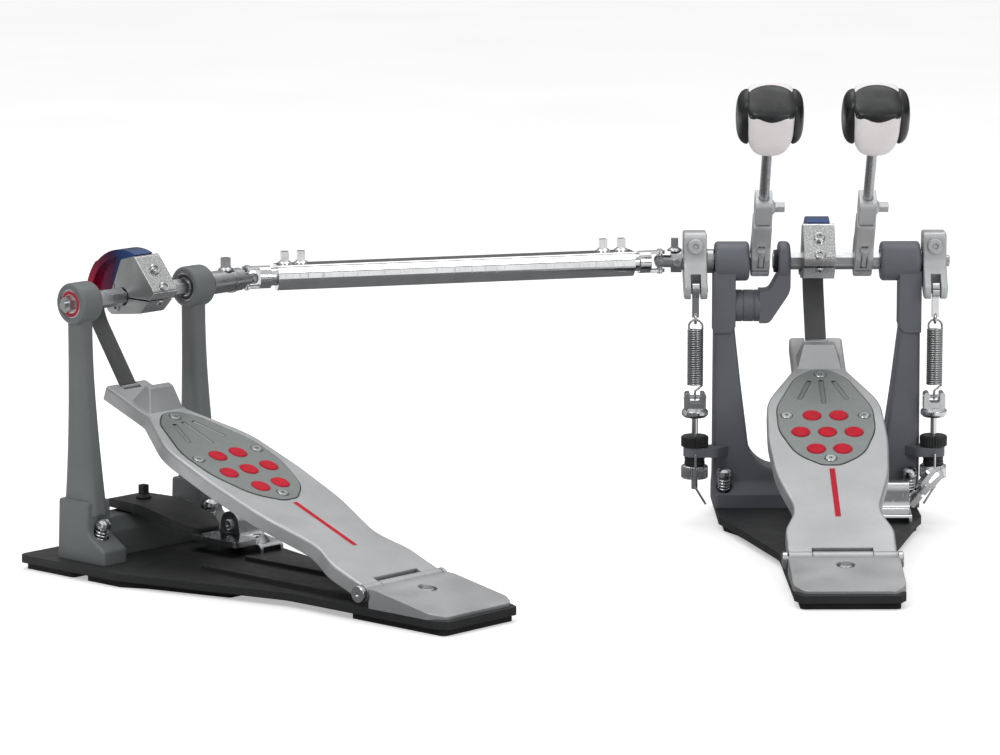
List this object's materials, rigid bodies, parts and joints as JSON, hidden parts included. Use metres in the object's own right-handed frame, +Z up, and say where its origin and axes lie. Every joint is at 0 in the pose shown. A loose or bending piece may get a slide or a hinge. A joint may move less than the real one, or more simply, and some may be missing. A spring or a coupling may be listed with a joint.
{
  "type": "bass drum pedal",
  "caption": "Twin bass drum pedal: two belt-driven footboards, sprung shafts, beaters, hoop clamps and a telescoping drive shaft.",
  "frame": {"origin": "on the floor under the main pedal's shaft axis, at the middle of its cam", "axes": "+Z up, +Y from the player towards the drum, +X to the player's right"},
  "size_m": [0.7226, 0.4931, 0.3674],
  "materials": {
    "base_black": "satin black powder coat",
    "rubber": "matt ribbed rubber",
    "frame_grey": "satin grey paint over casting",
    "cast_silver": "fine blasted casting",
    "chrome": "bright plating",
    "bearing": "ring with coloured shield",
    "knob_black": "knurled black",
    "grip_grey": "satin grey",
    "grip_red": "soft red",
    "steel": "brushed",
    "belt": "graphite woven strap",
    "cam_anodised": "anodised blue fading to red",
    "cast_grey": "satin cast",
    "beater_pad": "white core with black bands",
    "spring_steel": "plated coil",
    "tube_polished": "polished"
  },
  "bodies": {
    "main_frame": {"base_plate": "base_black", "rubber_feet": "rubber", "pedestal": "frame_grey", "heel_plate": "cast_silver", "frame_screws": "chrome", "shaft_bearings": "bearing", "center_arm": "frame_grey", "clamp_bracket": "chrome", "tension_rods": "chrome", "locking_collars": "knob_black"},
    "main_board": {"footboard": "cast_silver", "grip_plate": "grip_grey", "grip_dots": "grip_red", "board_screws": "steel"},
    "belt_foot": {"belt_clamp": "steel"},
    "belt_run": {"belt": "belt"},
    "main_shaft": {"hex_shaft": "steel", "cam_hub": "chrome", "cam": "cam_anodised", "beater_holder_right": "cast_grey", "spring_lever_right": "cast_grey"},
    "beater_right": {"beater_rod_right": "steel", "beater_head_right": "beater_pad"},
    "left_shaft": {"hex_shaft_left": "steel", "beater_holder_left": "cast_grey", "spring_lever_left": "cast_grey", "drive_fork_right": "steel"},
    "beater_left": {"beater_rod_left": "steel", "beater_head_left": "beater_pad"},
    "hanger_left": {"spring_link_left": "chrome", "spring_left": "spring_steel"},
    "hanger_right": {"spring_link_right": "chrome", "spring_right": "spring_steel"},
    "tension_nut_left": {"tension_nut_left": "chrome"},
    "tension_nut_right": {"tension_nut_right": "chrome"},
    "hoop_jaw": {"hoop_jaw": "base_black"},
    "wing_bolt": {"wing_bolt": "chrome"},
    "slave_frame": {"slave_base_plate": "base_black", "slave_rubber_feet": "rubber", "slave_pedestal": "frame_grey", "slave_heel_plate": "cast_silver", "slave_frame_screws": "chrome", "slave_shaft_bearings": "bearing", "slave_clamp_bracket": "chrome"},
    "slave_board": {"slave_footboard": "cast_silver", "slave_grip_plate": "grip_grey", "slave_grip_dots": "grip_red", "slave_board_screws": "steel"},
    "slave_belt_foot": {"slave_belt_clamp": "steel"},
    "slave_belt_run": {"slave_belt": "belt"},
    "slave_shaft": {"slave_hex_shaft": "steel", "slave_cam_hub": "chrome", "slave_cam": "cam_anodised", "slave_drive_fork": "steel"},
    "slave_hoop_jaw": {"slave_hoop_jaw": "base_black"},
    "slave_wing_bolt": {"slave_wing_bolt": "chrome"},
    "drive_stem": {"drive_yoke_left": "chrome"},
    "drive_tube": {"drive_tube": "tube_polished", "drive_yoke_right": "chrome", "tube_bolts": "chrome"}
  },
  "joints": [
    {"name": "board_press", "type": "hinge", "parent": "main_frame", "child": "main_board", "pos_m": [0, -0.2786, 0.0208], "axis": [-1, 0, 0], "range_deg": [0, 8.4]},
    {"name": "shaft_turn", "type": "hinge", "parent": "main_frame", "child": "main_shaft", "pos_m": [0, 0, 0.206], "axis": [-1, 0, 0], "range_deg": [-0.4, 46.6]},
    {"name": "belt_flex", "type": "hinge", "parent": "main_board", "child": "belt_foot", "pos_m": [0, 0.00434, 0.14001], "axis": [-1, 0, 0], "range_deg": [-35.43, 0.4]},
    {"name": "belt_pay_out", "type": "slide", "parent": "belt_foot", "child": "belt_run", "axis": [0, 0.6573, 0.7536], "range_m": [-0.0004, 0.05171], "deforming": ["belt"]},
    {"name": "hanger_right_pull", "type": "slide", "parent": "main_frame", "child": "hanger_right", "axis": [0, -0.373, 0.9278], "range_m": [-0.0004, 0.02259], "deforming": ["spring_right"]},
    {"name": "beater_right_height", "type": "slide", "parent": "main_shaft", "child": "beater_right", "axis": [0, -0.6293, 0.7771], "range_m": [-0.008, 0.03]},
    {"name": "telescope", "type": "slide", "parent": "main_frame", "child": "slave_frame", "axis": [-0.9664, -0.257, 0], "range_m": [-0.003, 0.04]},
    {"name": "slave_board_press", "type": "hinge", "parent": "slave_frame", "child": "slave_board", "pos_m": [-0.32912, -0.36483, 0.0208], "axis": [-0.6873, -0.7264, 0], "range_deg": [0, 8.4]},
    {"name": "slave_shaft_turn", "type": "hinge", "parent": "slave_frame", "child": "slave_shaft", "pos_m": [-0.53149, -0.17335, 0.206], "axis": [-0.6873, -0.7264, 0], "range_deg": [-0.4, 46.6]},
    {"name": "slave_belt_flex", "type": "hinge", "parent": "slave_board", "child": "slave_belt_foot", "pos_m": [-0.53641, -0.1687, 0.13406], "axis": [-0.6873, -0.7264, 0], "range_deg": [-30.61, 0.4]},
    {"name": "slave_belt_pay_out", "type": "slide", "parent": "slave_belt_foot", "child": "slave_belt_run", "axis": [-0.4122, 0.39, 0.8234], "range_m": [-0.0004, 0.05074], "deforming": ["slave_belt"]},
    {"name": "drive_yoke_turn", "type": "hinge", "parent": "slave_frame", "child": "drive_stem", "pos_m": [-0.44902, -0.08618, 0.206], "axis": [-0.9664, -0.257, 0], "range_deg": [-0.4, 50.8]},
    {"name": "drive_tube_turn", "type": "hinge", "parent": "main_frame", "child": "drive_tube", "pos_m": [-0.125, 0, 0.206], "axis": [-0.9664, -0.257, 0], "range_deg": [-0.4, 50.8]},
    {"name": "left_shaft_turn", "type": "hinge", "parent": "main_frame", "child": "left_shaft", "pos_m": [-0.1, 0, 0.206], "axis": [-1, 0, 0], "range_deg": [-0.4, 49.96]},
    {"name": "hanger_left_pull", "type": "slide", "parent": "main_frame", "child": "hanger_left", "axis": [0, -0.3456, 0.9384], "range_m": [-0.0004, 0.02411], "deforming": ["spring_left"]},
    {"name": "beater_left_height", "type": "slide", "parent": "left_shaft", "child": "beater_left", "axis": [0, -0.6293, 0.7771], "range_m": [-0.008, 0.03]},
    {"name": "tension_nut_left_turn", "type": "hinge", "parent": "main_frame", "child": "tension_nut_left", "pos_m": [-0.0972, -0.02, 0.04], "axis": [0, 0, 1], "continuous": true},
    {"name": "tension_nut_right_turn", "type": "hinge", "parent": "main_frame", "child": "tension_nut_right", "pos_m": [0.0926, -0.02, 0.04], "axis": [0, 0, 1], "continuous": true},
    {"name": "wing_bolt_turn", "type": "hinge", "parent": "main_frame", "child": "wing_bolt", "pos_m": [0.0706, -0.06, 0.0215], "axis": [0.6392, 0, 0.769], "range_deg": [0, 720]},
    {"name": "jaw_open", "type": "hinge", "parent": "main_frame", "child": "hoop_jaw", "pos_m": [0, -0.017, 0.042], "axis": [1, 0, 0], "range_deg": [-0.1, 8.1]},
    {"name": "slave_wing_bolt_turn", "type": "hinge", "parent": "slave_frame", "child": "slave_wing_bolt", "pos_m": [-0.43939, -0.1633, 0.0215], "axis": [0.4393, 0.4643, 0.769], "range_deg": [0, 720]},
    {"name": "slave_jaw_open", "type": "hinge", "parent": "slave_frame", "child": "slave_hoop_jaw", "pos_m": [-0.51914, -0.18503, 0.042], "axis": [0.6873, 0.7264, 0], "range_deg": [-0.1, 8.1]}
  ],
  "couplings": [
    {"joint": "shaft_turn", "follows": "board_press", "ratio": 5.5},
    {"joint": "belt_flex", "follows": "board_press", "ratio": -4.1701},
    {"joint": "belt_pay_out", "follows": "board_press", "m_per_rad": 0.34997},
    {"joint": "hanger_right_pull", "follows": "board_press", "m_per_rad": 0.15138},
    {"joint": "slave_shaft_turn", "follows": "slave_board_press", "ratio": 5.5},
    {"joint": "slave_belt_flex", "follows": "slave_board_press", "ratio": -3.5969},
    {"joint": "slave_belt_pay_out", "follows": "slave_board_press", "m_per_rad": 0.34339},
    {"joint": "drive_yoke_turn", "follows": "slave_board_press", "ratio": 6},
    {"joint": "drive_tube_turn", "follows": "slave_board_press", "ratio": 6},
    {"joint": "left_shaft_turn", "follows": "slave_board_press", "ratio": 5.9},
    {"joint": "hanger_left_pull", "follows": "slave_board_press", "m_per_rad": 0.16172},
    {"joint": "jaw_open", "follows": "wing_bolt_turn", "ratio": 0.011111},
    {"joint": "slave_jaw_open", "follows": "slave_wing_bolt_turn", "ratio": 0.011111}
  ]
}
